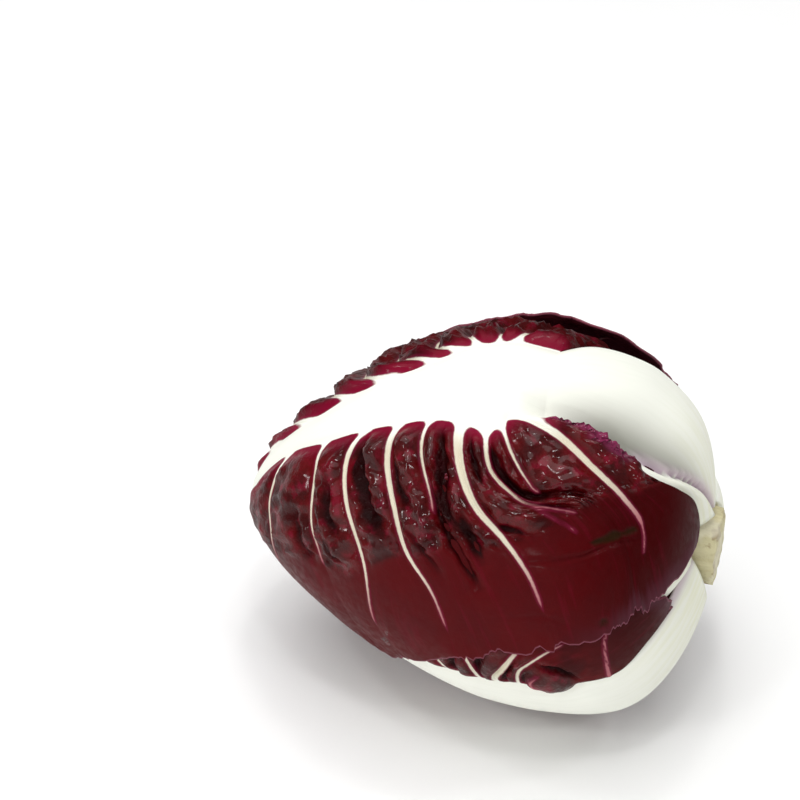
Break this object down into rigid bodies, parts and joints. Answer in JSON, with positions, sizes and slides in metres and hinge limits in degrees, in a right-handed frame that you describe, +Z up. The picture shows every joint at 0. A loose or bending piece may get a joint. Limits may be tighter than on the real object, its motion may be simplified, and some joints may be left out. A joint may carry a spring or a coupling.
{
  "type": "radicchio head",
  "caption": "Whole round radicchio head lying on its side, maroon leaves with broad white ribs and branching veins, closed at the tip, cut stem at the other end.",
  "frame": {"origin": "on the surface that the head lies on, at the middle of the flat spot it rests on, under the head's middle", "axes": "+Z up, X along the head from the closed tip at -X to the cut stem at +X, the front leaf's face towards -Y"},
  "size_m": [0.1412, 0.113, 0.1126],
  "materials": {
    "blade": "glossy deep maroon leaf, puckered, with pink veining",
    "rib": "smooth waxy white, faintly ridged along the rib",
    "stem": "rough cut, pale yellow-green with brown marks",
    "heart": "pale pink and maroon inner leaves"
  },
  "bodies": {
    "root": {"stem": "stem", "heart": "heart", "leaf_top_blade": "blade", "leaf_top_rib": "rib", "leaf_low_blade": "blade", "leaf_low_rib": "rib", "leaf_back_blade": "blade", "leaf_back_rib": "rib", "leaf_inner_front_blade": "blade", "leaf_inner_front_rib": "rib", "leaf_inner_rear_blade": "blade", "leaf_inner_rear_rib": "rib", "leaf_inner_under_blade": "blade", "leaf_inner_under_rib": "rib"}
  },
  "joints": []
}
